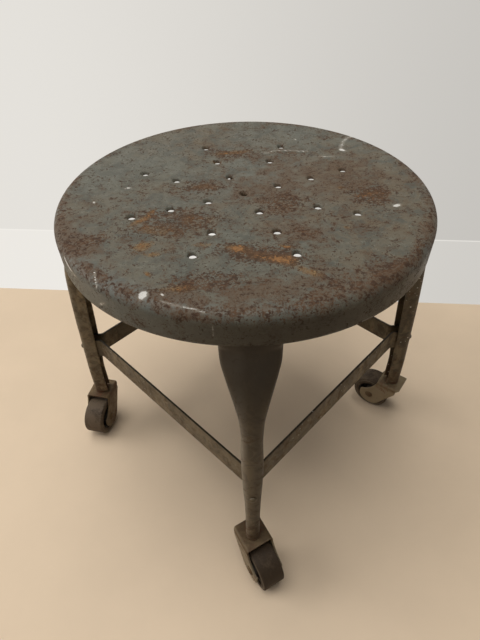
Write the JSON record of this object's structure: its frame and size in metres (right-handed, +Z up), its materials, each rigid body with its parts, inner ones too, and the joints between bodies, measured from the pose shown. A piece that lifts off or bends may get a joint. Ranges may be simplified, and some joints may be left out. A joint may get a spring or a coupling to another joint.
{
  "type": "stool",
  "caption": "Low round metal stool with a pressed, perforated pan seat on splayed channel legs, joined by strap braces and standing on swivel casters",
  "frame": {"origin": "On the floor, under the centre of the seat", "axes": "+Z up. The legs stand at -Y, +X, +Y and -X. Front is -Y"},
  "size_m": [0.46, 0.5051, 0.36],
  "materials": {
    "seat_paint": "worn grey-green enamel, mottled with brown rust",
    "frame_paint": "dark green-grey enamel, worn, rusted at the feet",
    "brace_paint": "thin grey-brown enamel over steel strap",
    "rivet_steel": "painted over with the frame",
    "socket_steel": "dull steel, brown with age",
    "yoke_steel": "dull plated sheet steel, stained",
    "pin_steel": "dull turned steel",
    "tyre_rubber": "near-black hard rubber",
    "core_plastic": "near-black moulded wheel centre"
  },
  "bodies": {
    "frame": {"seat_pan": "seat_paint", "leg_front": "frame_paint", "leg_right": "frame_paint", "leg_back": "frame_paint", "leg_left": "frame_paint", "brace_front_right": "brace_paint", "brace_right_back": "brace_paint", "brace_back_left": "brace_paint", "brace_left_front": "brace_paint", "brace_rivets": "rivet_steel", "socket_front": "socket_steel", "socket_right": "socket_steel", "socket_back": "socket_steel", "socket_left": "socket_steel"},
    "caster_front": {"yoke_front": "yoke_steel", "stem_front": "pin_steel", "axle_front": "pin_steel"},
    "wheel_front": {"tyre_front": "tyre_rubber", "core_front": "core_plastic", "bushing_front": "pin_steel"},
    "caster_right": {"yoke_right": "yoke_steel", "stem_right": "pin_steel", "axle_right": "pin_steel"},
    "wheel_right": {"tyre_right": "tyre_rubber", "core_right": "core_plastic", "bushing_right": "pin_steel"},
    "caster_back": {"yoke_back": "yoke_steel", "stem_back": "pin_steel", "axle_back": "pin_steel"},
    "wheel_back": {"tyre_back": "tyre_rubber", "core_back": "core_plastic", "bushing_back": "pin_steel"},
    "caster_left": {"yoke_left": "yoke_steel", "stem_left": "pin_steel", "axle_left": "pin_steel"},
    "wheel_left": {"tyre_left": "tyre_rubber", "core_left": "core_plastic", "bushing_left": "pin_steel"}
  },
  "joints": [
    {"name": "swivel_front", "type": "hinge", "parent": "frame", "child": "caster_front", "pos_m": [0, -0.20695, 0.058], "axis": [0, 0, 1], "continuous": true},
    {"name": "roll_front", "type": "hinge", "parent": "caster_front", "child": "wheel_front", "pos_m": [0.01046, -0.2263, 0.025], "axis": [0.8796, 0.4756, 0], "continuous": true},
    {"name": "swivel_right", "type": "hinge", "parent": "frame", "child": "caster_right", "pos_m": [0.20695, 0, 0.058], "axis": [0, 0, 1], "continuous": true},
    {"name": "roll_right", "type": "hinge", "parent": "caster_right", "child": "wheel_right", "pos_m": [0.18961, 0.01354, 0.025], "axis": [-0.6157, -0.788, 0], "continuous": true},
    {"name": "swivel_back", "type": "hinge", "parent": "frame", "child": "caster_back", "pos_m": [0, 0.20695, 0.058], "axis": [0, 0, 1], "continuous": true},
    {"name": "roll_back", "type": "hinge", "parent": "caster_back", "child": "wheel_back", "pos_m": [-0.01198, 0.2254, 0.025], "axis": [-0.8387, -0.5446, 0], "continuous": true},
    {"name": "swivel_left", "type": "hinge", "parent": "frame", "child": "caster_left", "pos_m": [-0.20695, 0, 0.058], "axis": [0, 0, 1], "continuous": true},
    {"name": "roll_left", "type": "hinge", "parent": "caster_left", "child": "wheel_left", "pos_m": [-0.2119, -0.02144, 0.025], "axis": [0.9744, -0.225, 0], "continuous": true}
  ]
}
